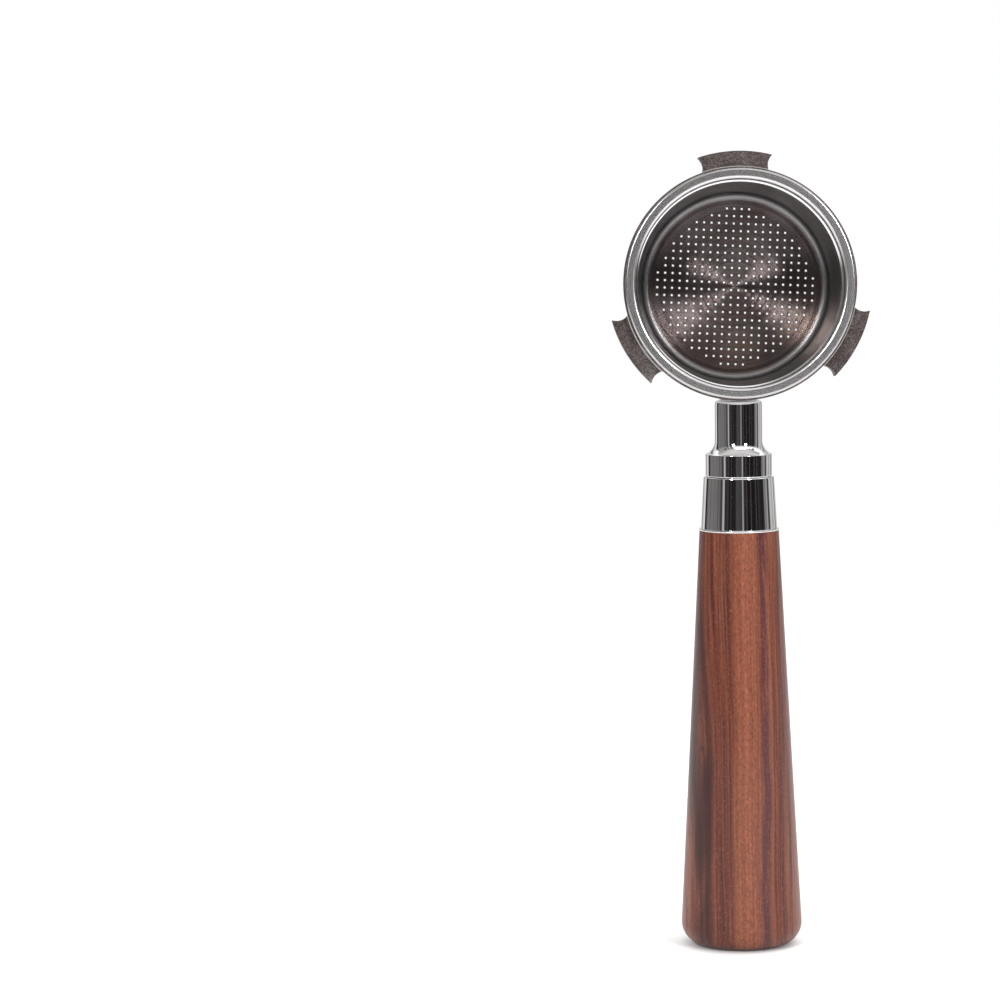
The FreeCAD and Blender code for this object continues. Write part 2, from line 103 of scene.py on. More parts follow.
class Wire:
    """A node's output that takes part in ordinary arithmetic and starts new nodes."""

    def __init__(self, tree, socket=None):
        self.tree = tree
        self.socket = socket

    def make(self, kind, settings=None, inputs=None, out=0):
        """Adds any node: its settings are made first, then its sockets are filled or joined."""
        node = self.tree.nodes.new(kind)
        for name, value in (settings or {}).items():
            if name == "stops":
                self.set_stops(node.color_ramp, value)
            else:
                setattr(node, name, value)
        for key, value in (inputs or {}).items():
            self.fill(node.inputs[key], value)
        return Wire(self.tree, node.outputs[out] if len(node.outputs) else None)

    def also(self, name):
        """Another output of the same node."""
        return Wire(self.tree, self.socket.node.outputs[name])

    def fill(self, socket, value):
        if isinstance(value, (list, tuple)) and value and isinstance(value[0], Wire):
            for wire in value:
                self.tree.links.new(wire.socket, socket)
        elif isinstance(value, Wire):
            self.tree.links.new(value.socket, socket)
        elif socket.type in ("VECTOR", "RGBA") and isinstance(value, (int, float)):
            socket.default_value = [value] * len(socket.default_value)
        elif socket.type == "RGBA" and len(value) == 3:
            socket.default_value = (*value, 1.0)
        else:
            socket.default_value = value

    @staticmethod
    def set_stops(ramp, stops):
        while len(ramp.elements) > 1:
            ramp.elements.remove(ramp.elements[0])
        for number, (place, colour) in enumerate(stops):
            element = ramp.elements[0] if number == 0 else ramp.elements.new(place)
            element.position = place
            element.color = (*colour, 1.0)

    def arithmetic(self, operation, first, second):
        kinds = {w.socket.type for w in (first, second) if isinstance(w, Wire)}
        vectors = "VECTOR" in kinds or any(isinstance(w, tuple) for w in (first, second))
        if "RGBA" in kinds:
            settings = {"data_type": "RGBA", "blend_type": operation}
            return self.make("ShaderNodeMix", settings, {0: 1.0, 6: first, 7: second}, 2)
        kind = "ShaderNodeVectorMath" if vectors else "ShaderNodeMath"
        return self.make(kind, {"operation": operation}, {0: first, 1: second})

    def __add__(self, other):
        return self.arithmetic("ADD", self, other)

    def __radd__(self, other):
        return self.arithmetic("ADD", other, self)

    def __sub__(self, other):
        return self.arithmetic("SUBTRACT", self, other)

    def __rsub__(self, other):
        return self.arithmetic("SUBTRACT", other, self)

    def __mul__(self, other):
        return self.arithmetic("MULTIPLY", self, other)

    def __rmul__(self, other):
        return self.arithmetic("MULTIPLY", other, self)

    def __truediv__(self, other):
        return self.arithmetic("DIVIDE", self, other)

    def value(self, operation, other=None):
        """A Math node's function of this value."""
        inputs = {0: self} if other is None else {0: self, 1: other}
        return self.make("ShaderNodeMath", {"operation": operation}, inputs)

    def vector(self, operation, other=None, out=0):
        """A Vector Math node's function of this vector."""
        inputs = {0: self} if other is None else {0: self, 1: other}
        return self.make("ShaderNodeVectorMath", {"operation": operation}, inputs, out)

    def parts(self):
        """A vector's three coordinates."""
        x = self.make("ShaderNodeSeparateXYZ", inputs={0: self})
        return x, x.also("Y"), x.also("Z")

    def join(self, x, y, z):
        return self.make("ShaderNodeCombineXYZ", inputs={0: x, 1: y, 2: z})

    def reach(self, x, y):
        """Distance of a point from the axis, from its two coordinates across the axis."""
        return self.join(x, y, 0.0).vector("LENGTH", out="Value")

    def ease(self, low, high, first=0.0, last=1.0):
        """Runs smoothly from first to last while this value goes from low to high."""
        limits = {"Value": self, "From Min": low, "From Max": high,
                  "To Min": first, "To Max": last}
        return self.make("ShaderNodeMapRange", {"interpolation_type": "SMOOTHSTEP"}, limits)

    def noise(self, scale, detail=2.0, roughness=0.5):
        """Soft noise from 0 to 1 at this position."""
        inputs = {"Vector": self, "Scale": scale, "Detail": detail, "Roughness": roughness}
        return self.make("ShaderNodeTexNoise", inputs=inputs)

    def line_noise(self, scale, detail=2.0):
        """Noise along one value."""
        inputs = {"W": self, "Scale": scale, "Detail": detail}
        return self.make("ShaderNodeTexNoise", {"noise_dimensions": "1D"}, inputs)

    def ramp(self, stops):
        return self.make("ShaderNodeValToRGB", {"stops": stops}, {0: self})

    def blend(self, other, share):
        """This colour going over to another one."""
        settings = {"data_type": "RGBA"}
        return self.make("ShaderNodeMix", settings, {0: share, 6: self, 7: other}, 2)


def new_finish(name):
    """An empty material and the start of its nodes."""
    material = bpy.data.materials.new(name)
    material.use_nodes = True
    material.node_tree.nodes.clear()
    return material, Wire(material.node_tree)


def lay_on(start, **sockets):
    """Ends a material with a Principled surface that takes these sockets."""
    inputs = {name.replace("_", " "): value for name, value in sockets.items()}
    surface = start.make("ShaderNodeBsdfPrincipled", inputs=inputs)
    start.make("ShaderNodeOutputMaterial", inputs={"Surface": surface})


def position(start):
    """Position on the piece in millimetres."""
    return start.make("ShaderNodeTexCoord").also("Object") * (1 / MM, 1 / MM, 1 / MM)


def about_mouth(start):
    """Position in millimetres about the mouth's axis: across, up and out of the mouth."""
    settings = {"vector_type": "TEXTURE"}
    inputs = {"Vector": start.make("ShaderNodeTexCoord").also("Object"),
              "Location": tuple(MOUTH_CENTRE), "Rotation": (HEAD_TURN, 0.0, 0.0)}
    return start.make("ShaderNodeMapping", settings, inputs) * (1 / MM, 1 / MM, 1 / MM)


def brushed(start, centre, axis, lines, slope, wander=0.0, coarse=0.5):
    """The surface's direction with fine turned lines round an axis: each line leans the
    surface a little across itself. lines is how many there are in a millimetre, slope is how
    far they lean, coarse is the share of waves nine times as wide, and wander is the scale
    of an unevenness that doesn't follow the lines."""
    place = start.make("ShaderNodeTexCoord").also("Object")
    upright = place.also("Normal")
    arm = place - tuple(centre)
    along = arm.vector("DOT_PRODUCT", tuple(axis), "Value")
    sideways = arm.vector("CROSS_PRODUCT", tuple(axis))
    reach = sideways.vector("LENGTH", out="Value")
    across = upright.vector("CROSS_PRODUCT", sideways.vector("NORMALIZE"))
    where = (reach + along) / MM
    lean = where.line_noise(lines, 3.0) - 0.5
    if coarse:
        lean = lean + (where.line_noise(lines * 0.11, 2.0) - 0.5) * coarse
    if wander:
        lean = lean + (place.noise(wander, 2.0) - 0.5) * 0.5
    tilted = (upright + across * (lean * 2.0 * slope)).vector("NORMALIZE")
    settings = {"vector_type": "NORMAL", "convert_from": "OBJECT", "convert_to": "WORLD"}
    return start.make("ShaderNodeVectorTransform", settings, {0: tilted})


def grit(place, size):
    """Fine even grain of about this size in millimetres."""
    return place.noise(1.0 / size, 2.0, 0.6)


def bumps(start, height, strength, depth):
    """The surface's direction over bumps of this depth in millimetres."""
    inputs = {"Strength": strength, "Distance": depth * MM, "Height": height}
    return start.make("ShaderNodeBump", inputs=inputs)


# ---------------------------------------------------------------- finishes

def cast_steel():
    """Head ring and lugs: dark satin steel with a fine blasted grain and a few scratches."""
    material, start = new_finish("dark_cast_steel")
    place = about_mouth(start)
    across, up, out = place.parts()
    reach = place.reach(across, up)
    grain = grit(place, 0.34)
    patches = place.noise(0.13, 3.0)
    stroke = place.join(across * 3.2 + up * 0.5, up * 0.12, out * 0.3).noise(1.0, 2.0, 0.6)
    scratch = stroke.ease(0.70, 0.76)
    colour = patches.ramp([(0.30, (0.070, 0.054, 0.052)), (0.55, (0.105, 0.086, 0.083)),
                           (0.72, (0.215, 0.192, 0.188))])
    colour = colour * (0.45 + grain.ease(0.34, 0.68) * 1.10)
    colour = colour.blend((0.42, 0.40, 0.39), scratch * 0.35)
    # painted reflection: the ring's outside behind its front edge is painted bright, standing in
    # for the white room it mirrors at grazing angles
    side = reach.ease(RING_BACK - 0.55, RING_BACK - 0.25)
    side = side * reach.ease(RING_FRONT + 0.3, RING_FRONT + 0.05)
    side = side * out.ease(RING_TOP - 0.5, RING_TOP - 0.7)
    colour = colour.blend((0.62, 0.61, 0.60), side * 0.9)
    # the lugs' tips are darker
    tip = reach.ease(LUG_TIP - 0.45, LUG_TIP)
    colour = colour.blend((0.055, 0.045, 0.045), tip * 0.55)
    rough = 0.40 + grain * 0.16 - scratch * 0.15 + patches * 0.08
    bump = bumps(start, grain + scratch * -0.4, 0.35, 0.06)
    lay_on(start, Base_Color=colour, Metallic=0.85, Roughness=rough, Normal=bump)
    return material


def pressed_steel():
    """Basket: satin stainless steel, turned lines round it and a warm tint on the floor, partly a
    stain and partly a painted warm reflection.
    """
    material, start = new_finish("satin_stainless_steel")
    place = about_mouth(start)
    across, up, out = place.parts()
    reach = place.reach(across, up)
    on_floor = out.ease(FLOOR + 1.8, FLOOR + 0.4) * reach.ease(24.6, 23.0)
    rim = out.ease(RING_TOP - 0.8, RING_TOP)
    above_bead = out.ease(8.6, 9.4)
    grain = grit(place, 0.16)
    cloud = place.noise(0.09, 3.0)
    ring_mark = (reach + out * 0.6).line_noise(1.6, 3.0)
    steel = cloud.ramp([(0.30, (0.37, 0.379, 0.383)), (0.70, (0.54, 0.551, 0.556))])
    rim_steel = ring_mark.ramp([(0.30, (0.46, 0.448, 0.450)), (0.70, (0.66, 0.648, 0.650))])
    # painted shade: the floor is the same steel painted much darker and browner, standing in for
    # the dark room it mirrors
    shaded_floor_steel = cloud.ramp([(0.35, (0.096, 0.074, 0.073)), (0.65, (0.150, 0.124, 0.122))])
    # the warm tint towards the lower right is partly a stain and partly a painted warm reflection
    warm = (across * 0.4 - up * 1.2).ease(2.0, 26.0) * place.noise(0.07, 2.0).ease(0.30, 0.65)
    shaded_floor_steel = shaded_floor_steel.blend((0.235, 0.155, 0.105), warm * 0.50)
    # painted shade: darker where the wall turns into the floor; painted highlight: bright along
    # the top of the bead
    painted_toe_shade = out.ease(FLOOR + 3.6, FLOOR + 2.0) * reach.ease(23.35, 23.7)
    steel = steel.blend((0.17, 0.165, 0.165), painted_toe_shade * 0.85)
    # painted highlight: the top of the bead is painted near white, standing in for the light it
    # mirrors
    bead = out.ease(8.5, 8.9) * out.ease(9.5, 9.3)
    steel = steel.blend((0.85, 0.84, 0.84), bead)
    colour = steel.blend(rim_steel, rim).blend(shaded_floor_steel, on_floor)
    # painted shade: each hole's sunk edge and wall are painted almost black, standing in for the
    # shade in them, and are made rougher
    burr = start.make("ShaderNodeAttribute", {"attribute_name": "burr"}, out="Fac")
    colour = colour.blend((0.035, 0.028, 0.028), burr * 0.85)
    colour = colour * (0.86 + grain * 0.28)
    rough = 0.26 + grain * 0.08 - above_bead * 0.12 + rim * 0.08
    rough = rough - on_floor * 0.10 + burr * 0.2
    slope = on_floor * 0.90 + 0.36 - above_bead * 0.27 + rim * 0.13
    lines = brushed(start, MOUTH_CENTRE, MOUTH_AXIS, 26.0, slope, coarse=0.0)
    lay_on(start, Base_Color=colour, Metallic=1.0, Roughness=rough, Normal=lines)
    return material


def chrome(name):
    """Neck and ferrule: bright chrome with faint polishing lines and handling smudges."""
    material, start = new_finish(name)
    place = position(start)
    smudge = place.noise(0.16, 4.0, 0.6).ease(0.45, 0.75)
    wipe = (place * (1.0, 1.0, 0.25)).noise(1.7, 3.0, 0.7)
    colour = smudge.ramp([(0.0, (0.86, 0.86, 0.87)), (1.0, (0.78, 0.77, 0.77))])
    rough = 0.035 + smudge * 0.05 + wipe.ease(0.55, 0.80) * 0.05
    polish = brushed(start, ORIGIN, HANDLE_AXIS, 1.6, 0.006, wander=120.0)
    lay_on(start, Base_Color=colour, Metallic=1.0, Roughness=rough, Normal=polish)
    return material


def polished_steel():
    """Trim ring: bright turned steel."""
    material, start = new_finish("bright_turned_steel")
    place = position(start)
    grain = grit(place, 0.3)
    colour = grain.ramp([(0.3, (0.80, 0.79, 0.78)), (0.7, (0.92, 0.91, 0.90))])
    rough = 0.12 + grain * 0.08
    lines = brushed(start, ORIGIN, HANDLE_AXIS, 12.0, 0.05)
    lay_on(start, Base_Color=colour, Metallic=1.0, Roughness=rough, Normal=lines)
    return material


def spring_steel():
    """Spring: drawn wire, grey with lengthwise die marks."""
    material, start = new_finish("drawn_spring_wire")
    place = about_mouth(start)
    grain = grit(place, 0.12)
    patches = place.noise(0.2, 3.0)
    colour = patches.ramp([(0.3, (0.33, 0.32, 0.32)), (0.7, (0.52, 0.51, 0.50))])
    rough = 0.28 + grain * 0.14
    bump = bumps(start, grain, 0.3, 0.03)
    lay_on(start, Base_Color=colour, Metallic=1.0, Roughness=rough, Normal=bump)
    return material


def zinc_steel():
    """Stud: zinc-plated steel, cool grey with a faint yellow bloom in its thread."""
    material, start = new_finish("zinc_plated_steel")
    place = position(start)
    grain = grit(place, 0.2)
    bloom = place.noise(0.35, 3.0)
    colour = bloom.ramp([(0.35, (0.52, 0.53, 0.55)), (0.6, (0.62, 0.62, 0.61)),
                         (0.8, (0.60, 0.57, 0.47))])
    rough = 0.26 + grain * 0.18
    bump = bumps(start, grain, 0.3, 0.03)
    lay_on(start, Base_Color=colour, Metallic=1.0, Roughness=rough, Normal=bump)
    return material


def brass():
    """Insert: turned brass with darker spots."""
    material, start = new_finish("turned_brass")
    place = position(start)
    grain = grit(place, 0.2)
    spots = place.noise(0.5, 4.0).ease(0.55, 0.75)
    colour = grain.ramp([(0.3, (0.60, 0.43, 0.17)), (0.7, (0.74, 0.56, 0.26))])
    colour = colour.blend((0.32, 0.20, 0.08), spots * 0.5)
    rough = 0.24 + grain * 0.12 + spots * 0.15
    lines = brushed(start, ORIGIN, HANDLE_AXIS, 8.0, 0.10)
    lay_on(start, Base_Color=colour, Metallic=1.0, Roughness=rough, Normal=lines)
    return material


def rosewood():
    """Grip: rosewood cut along the grain, with dark heartwood streaks, pores and a satin lacquer,
    painted shade on its left side and a painted light band down its front.
    """
    material, start = new_finish("lacquered_rosewood")
    place = position(start)
    x, y, z = place.parts()
    # the grain runs up the grip, leaning a little and wandering slowly
    sway = (place * (0.030, 0.030, 0.011)).noise(1.0, 2.0) - 0.5
    ripple = (place * (0.22, 0.22, 0.035)).noise(1.0, 2.0) - 0.5
    side = x + (z - 60.0) * 0.022 + sway * 5.0 + ripple * 0.55
    grown = place.join(side, y * 0.16, z * 0.004)
    broad = grown.noise(0.21, 2.0)
    middle = grown.noise(0.75, 2.0, 0.6)
    fine = grown.noise(2.6, 3.0, 0.65)
    figure = broad * 0.38 + middle * 0.34 + fine * 0.36
    colour = figure.ramp([
        (0.40, (0.034, 0.007, 0.006)), (0.47, (0.085, 0.018, 0.011)),
        (0.54, (0.145, 0.037, 0.019)), (0.60, (0.195, 0.058, 0.031)),
        (0.68, (0.250, 0.090, 0.056))])

    def streak(middle_at, half, soft, ragged):
        """A streak up the grip at this place across it: half its width in full colour, the
        width of its soft edge and how far it wanders."""
        off = (side - middle_at + (ripple + sway) * ragged).value("ABSOLUTE")
        return off.ease(half + soft, half)

    # a purple streak on the right; a dark streak on the left, partly dark heartwood and partly
    # painted shade on the grip's left side; thin lines; and a painted light band down the front
    edge = (place * (0.9, 0.9, 0.06)).noise(1.0, 3.0)
    purple = streak(5.7, 0.65, 1.0, 1.5) * edge.ease(0.25, 0.50)
    colour = colour.blend((0.060, 0.018, 0.023), purple * 0.85)
    broken = (place * (0.12, 0.12, 0.022)).noise(1.0, 2.0)
    # partly dark heartwood, partly painted shade darkening the grip's left side
    heartwood_and_left_shade = streak(-12.0, 1.5, 2.3, 2.0) * broken.ease(0.26, 0.58)
    colour = colour.blend((0.024, 0.006, 0.006), heartwood_and_left_shade * 0.88)
    lines = (streak(1.9, 0.05, 0.22, 0.2) + streak(10.4, 0.08, 0.25, 0.4)
             + streak(-5.4, 0.05, 0.25, 0.5) + streak(3.6, 0.09, 0.22, 0.3))
    colour = colour.blend((0.070, 0.022, 0.016), lines * 0.65)
    # painted light: a brighter band down the middle of the grip's front, where the light falls
    # most
    painted_light_band = streak(0.2, 1.8, 3.4, 1.0)
    colour = colour.blend((0.250, 0.076, 0.036), painted_light_band * 0.45)
    # short silky flecks, plainest in the painted light band
    mottle = (place * (1.7, 1.7, 0.95)).noise(1.0, 3.0, 0.7)
    colour = colour * (1.0 + (mottle - 0.5) * (painted_light_band + 0.9))

    # pores: short dark dashes along the grain; flecks: small silky spots between them
    dash = (place * (5.5, 5.5, 0.50)).noise(1.0, 2.0, 0.6)
    pore = dash.ease(0.62, 0.70)
    fleck = (place * (2.6, 2.6, 1.3)).noise(1.0, 2.0, 0.6).ease(0.52, 0.72)
    fleck = fleck * (1.0 - heartwood_and_left_shade * 0.9)
    colour = colour.blend((0.065, 0.020, 0.014), pore * 0.55)
    colour = colour.blend((0.360, 0.150, 0.090), fleck * 0.25)
    # two small dark knots at the front on the left, and a darker foot
    upper_knot = (place - (-11.3, -9.4, 70.0)).vector("LENGTH", out="Value").ease(2.0, 0.7)
    lower_knot = (place - (-12.0, -9.2, 54.6)).vector("LENGTH", out="Value").ease(2.2, 0.8)
    colour = colour.blend((0.020, 0.010, 0.009), (upper_knot + lower_knot) * 0.80)
    colour = colour.blend((0.05, 0.016, 0.012), z.ease(1.6, 0.2) * 0.7)
    rough = 0.40 + figure * 0.18 + pore * 0.12
    bump = bumps(start, figure * 0.4 - pore * 0.6, 0.30, 0.08)
    lay_on(start, Base_Color=colour, Metallic=0.0, Roughness=rough, Specular_IOR_Level=0.2,
           Coat_Weight=0.30, Coat_Roughness=0.12, Coat_IOR=1.5, Normal=bump)
    return material


# ---------------------------------------------------------------- rules that grow the shapes

def new_rule(name, numbers):
    """A geometry tree with a Geometry socket, named number sockets and a Finish socket."""
    tree = bpy.data.node_groups.new(name, "GeometryNodeTree")
    face = tree.interface
    face.new_socket("Geometry", in_out="INPUT", socket_type="NodeSocketGeometry")
    for label, value in numbers.items():
        whole = isinstance(value, int)
        kind = "NodeSocketInt" if whole else "NodeSocketFloat"
        face.new_socket(label, in_out="INPUT", socket_type=kind).default_value = value
    face.new_socket("Finish", in_out="INPUT", socket_type="NodeSocketMaterial")
    face.new_socket("Geometry", in_out="OUTPUT", socket_type="NodeSocketGeometry")
    given = Wire(tree).make("NodeGroupInput")
    return tree, given


def end_rule(given, shape):
    """Ends a rule: the shape becomes one mesh with the finish on it."""
    shape = given.make("GeometryNodeRealizeInstances", inputs={"Geometry": shape})
    inputs = {"Geometry": shape, "Material": given.also("Finish")}
    done = given.make("GeometryNodeSetMaterial", inputs=inputs)
    given.make("NodeGroupOutput", inputs={0: done})


def circle(given, sides, radius):
    """A round line in a rule."""
    inputs = {"Resolution": sides, "Radius": radius}
    return given.make("GeometryNodeCurvePrimitiveCircle", inputs=inputs)


def grow(name, mesh, rule, finish, **numbers):
    """Runs a rule on a mesh once and gives the result as a plain mesh object."""
    thing = add_object(name, mesh)
    change = thing.modifiers.new("rule", "NODES")
    change.node_group = rule
    wanted = {label.replace("_", " "): value for label, value in numbers.items()}
    wanted["Finish"] = finish
    for item in rule.interface.items_tree:
        if item.in_out == "INPUT" and item.name in wanted:
            change[item.identifier] = wanted.pop(item.name)
    assert not wanted, wanted
    plain(thing)
    return thing


def plain(thing):
    """Replaces a thing's mesh by the result of its modifiers."""
    graph = bpy.context.evaluated_depsgraph_get()
    made = bpy.data.meshes.new_from_object(thing.evaluated_get(graph), depsgraph=graph)
    thing.modifiers.clear()
    thing.data = made
    made.name = thing.name
    # a rule can leave a material slot with nothing in it
    empty = [n for n, material in enumerate(made.materials) if material is None]
    for number in reversed(empty):
        made.materials.pop(index=number)


def close_up(thing, crease=32.0, place=None):
    """Merges doubles, points the faces outwards, puts the mesh in its place and smooths it."""
    work = bmesh.new()
    work.from_mesh(thing.data)
    bmesh.ops.remove_doubles(work, verts=work.verts, dist=0.0015 * MM)
    bmesh.ops.dissolve_degenerate(work, edges=work.edges, dist=0.0005 * MM)
    bmesh.ops.recalc_face_normals(work, faces=work.faces)
    if work.calc_volume(signed=True) < 0:
        bmesh.ops.reverse_faces(work, faces=work.faces)
    work.to_mesh(thing.data)
    work.free()
    if place is not None:
        thing.data.transform(place)
    thing.data.polygons.foreach_set("use_smooth", [True] * len(thing.data.polygons))
    thing.data.set_sharp_from_angle(angle=math.radians(crease))
    even = thing.modifiers.new("even", "WEIGHTED_NORMAL")
    even.keep_sharp = True
    even.weight = 100
    plain(thing)


SPINE = 0.05    # radius of the circle that a section is carried round, in metres


def turning_rule():
    """Rounds a section's corners and carries it round the upright axis."""
    tree, given = new_rule("turned", {"Sides": 192, "Corner steps": 5})
    line = given.make("GeometryNodeMeshToCurve", inputs={0: given.also("Geometry")})
    amount = given.make("GeometryNodeInputNamedAttribute", {"data_type": "FLOAT"},
                        {"Name": "rounding"})
    line = given.make("GeometryNodeFilletCurve", {"mode": "POLY"}, {
        "Curve": line, "Count": given.also("Corner steps"), "Radius": amount})
    line = given.make("GeometryNodeTransform", inputs={
        "Geometry": line, "Translation": (-SPINE, 0.0, 0.0)})
    shape = given.make("GeometryNodeCurveToMesh", inputs={
        "Curve": circle(given, given.also("Sides"), SPINE), "Profile Curve": line})
    end_rule(given, shape)
    return tree


def threading_rule():
    """Cuts a screw thread into the part of a turned piece that has the given radius."""
    tree, given = new_rule("threaded", {
        "Radius": 0.004, "Depth": 0.0006, "Pitch": 0.00125, "Low": 0.1, "High": 0.14})
    x, y, z = given.make("GeometryNodeInputPosition").parts()
    reach = given.reach(x, y)
    turn = y.value("ARCTAN2", x) / (2 * math.pi)
    phase = (z / given.also("Pitch") - turn).value("FRACT")
    # a flat crest, two flanks and a rounded root
    flank = (phase - 0.5).value("ABSOLUTE") * 2.0
    groove = flank.ease(0.92, 0.12)
    # the thread runs out over a little more than one turn at both ends
    runout = given.also("Pitch") * 1.2
    ends = (z - given.also("Low")) / runout
    ends = ends.value("MINIMUM", (given.also("High") - z) / runout)
    ends = ends.value("MAXIMUM", 0.0).value("MINIMUM", 1.0)
    inward = given.join(x, y, 0.0).vector("NORMALIZE") * (
        groove * ends * given.also("Depth") * -1.0)
    at_radius = (reach - given.also("Radius")).value("ABSOLUTE")
    chosen = at_radius.value("LESS_THAN", 0.03 * MM)
    shape = given.make("GeometryNodeSetPosition", inputs={
        "Geometry": given.also("Geometry"), "Selection": chosen, "Offset": inward})
    end_rule(given, shape)
    return tree


def wire_rule():
    """Sweeps a round wire along the line it is given, domed at both ends."""
    tree, given = new_rule("wire", {"Wire radius": 0.0007, "Wire sides": 20})
    line = given.make("GeometryNodeMeshToCurve", inputs={0: given.also("Geometry")})
    share = given.make("GeometryNodeSplineParameter").also("Length")
    whole = given.make("GeometryNodeSplineLength")
    from_end = share.value("MINIMUM", whole - share) / given.also("Wire radius")
    from_end = from_end.value("MINIMUM", 1.0)
    dome = (1.0 - (1.0 - from_end).value("POWER", 2.0)).value("SQRT").value("MAXIMUM", 0.05)
    ring = circle(given, given.also("Wire sides"), given.also("Wire radius"))
    shape = given.make("GeometryNodeCurveToMesh", inputs={
        "Curve": line, "Profile Curve": ring, "Scale": dome, "Fill Caps": True})
    end_rule(given, shape)
    return tree


HOLE_SIDES = 10


def piercing_rule():
    """A flat floor of sheet with a square grid of punched holes inside a circle. Each hole has
    a small sunk edge on top, a wall and a slightly opened edge below."""
    tree, given = new_rule("pierced", {
        "Floor radius": 0.0232, "Sides": 192, "Sheet": 0.0007, "Rows": 22, "Pitch": 0.002,
        "Reach": 103.0, "Side row half": 1.5, "Hole radius": 0.0003, "Sunk edge": 0.0001,
        "Turn": 0.0})
    rows = given.also("Rows")
    span = given.also("Pitch") * (rows - 1.0)
    grid = given.make("GeometryNodeMeshGrid", inputs={
        "Size X": span, "Size Y": span, "Vertices X": rows, "Vertices Y": rows})
    points = given.make("GeometryNodeMeshToPoints", inputs={"Mesh": grid})
    x, y, _ = given.make("GeometryNodeInputPosition").parts()
    across = x.value("ABSOLUTE") / given.also("Pitch")
    up = y.value("ABSOLUTE") / given.also("Pitch")
    # holes outside a circle go, but for the few in the middle of each outermost row
    outside = (across * across + up * up).value("GREATER_THAN", given.also("Reach"))
    last = across.value("MAXIMUM", up).value("GREATER_THAN", rows / 2.0 - 0.75)
    near = across.value("MINIMUM", up).value("LESS_THAN", given.also("Side row half") + 0.1)
    unwanted = outside * (1.0 - last * near)
    points = given.make("GeometryNodeDeleteGeometry", {"domain": "POINT"}, {
        "Geometry": points, "Selection": unwanted})
    turned = given.join(0.0, 0.0, given.also("Turn"))
    points = given.make("GeometryNodeTransform", inputs={
        "Geometry": points, "Rotation": turned})

    def holed_sheet(radius, height):
        """A flat sheet at one height, with a hole of this radius at each point."""
        ring = circle(given, HOLE_SIDES, radius)
        holes = given.make("GeometryNodeInstanceOnPoints", inputs={
            "Points": points, "Instance": ring})
        holes = given.make("GeometryNodeRealizeInstances", inputs={"Geometry": holes})
        edge = circle(given, given.also("Sides"), given.also("Floor radius"))
        both = given.make("GeometryNodeJoinGeometry", inputs={0: [edge, holes]})
        sheet = given.make("GeometryNodeFillCurve", {"mode": "TRIANGLES"}, {0: both})
        shift = given.join(0.0, 0.0, height)
        return given.make("GeometryNodeTransform", inputs={
            "Geometry": sheet, "Translation": shift})

    hole = given.also("Hole radius")
    sunk = given.also("Sunk edge")
    sheet = given.also("Sheet")
    halo = hole + sunk * 2.6
    low_edge = hole + sunk * 0.6
    # one hole's side, from the flat round it down through the sheet
    steps = ((halo, 0.0), (hole + sunk, 0.0), (hole, sunk * -0.9),
             (hole, sunk * 0.6 - sheet), (low_edge, sheet * -1.0))
    side = given.make("GeometryNodeMeshLine", inputs={"Count": len(steps)})
    number = given.make("GeometryNodeInputIndex")
    stop = given.join(0.0, 0.0, 0.0)
    for count, (radius, height) in enumerate(steps):
        here = number.value("COMPARE", float(count))
        # a section carried round a circle has its heights turned over
        stop = stop + given.join(radius, height * -1.0, 0.0) * here
    side = given.make("GeometryNodeSetPosition", inputs={"Geometry": side, "Position": stop})
    side = given.make("GeometryNodeMeshToCurve", inputs={0: side})
    side = given.make("GeometryNodeTransform", inputs={
        "Geometry": side, "Translation": given.join(halo * -1.0, 0.0, 0.0)})
    collar = given.make("GeometryNodeCurveToMesh", inputs={
        "Curve": circle(given, HOLE_SIDES, halo), "Profile Curve": side})
    reach = (given.make("GeometryNodeInputPosition") * (1.0, 1.0, 0.0)).vector(
        "LENGTH", out="Value")
    # the points round each hole's edge are stored for the basket's finish, which paints shade
    # there
    marked = reach.value("LESS_THAN", hole + sunk * 1.6)
    collar = given.make("GeometryNodeStoreNamedAttribute",
                        {"data_type": "FLOAT", "domain": "POINT"},
                        {"Geometry": collar, "Name": "burr", "Value": marked})
    collars = given.make("GeometryNodeInstanceOnPoints", inputs={
        "Points": points, "Instance": collar})
    collars = given.make("GeometryNodeRealizeInstances", inputs={"Geometry": collars})
    under = holed_sheet(low_edge, sheet * -1.0)
    shape = given.make("GeometryNodeJoinGeometry", inputs={
        0: [holed_sheet(halo, 0.0), under, collars, given.also("Geometry")]})
    shape = given.make("GeometryNodeMergeByDistance", inputs={
        "Geometry": shape, "Distance": 0.0015 * MM})
    end_rule(given, shape)
    return tree


TURNED = turning_rule()
THREADED = threading_rule()
WIRE = wire_rule()
PIERCED = piercing_rule()


def section_mesh(corners, closed):
    """A section's outline as loose edges. Each corner is (radius, height) or, with its
    rounding, (radius, height, rounding), in millimetres. The heights are turned over, and
    carrying the section round its circle turns them back."""
    mesh = bpy.data.meshes.new("section")
    points = [(c[0] * MM, -c[1] * MM, 0.0) for c in corners]
    edges = [(n, n + 1) for n in range(len(points) - 1)]
    if closed:
        edges.append((len(points) - 1, 0))
    mesh.from_pydata(points, edges, [])
    rounding = mesh.attributes.new("rounding", "FLOAT", "POINT")
    rounding.data.foreach_set("value", [(c[2] if len(c) > 2 else 0.0) * MM for c in corners])
    return mesh


def turned(name, corners, finish, closed=True, sides=192, steps=5):
    """A turned piece. An open section starts and ends on the axis or is joined up later."""
    mesh = section_mesh(corners, closed)
    return grow(name, mesh, TURNED, finish, Sides=sides, Corner_steps=steps)


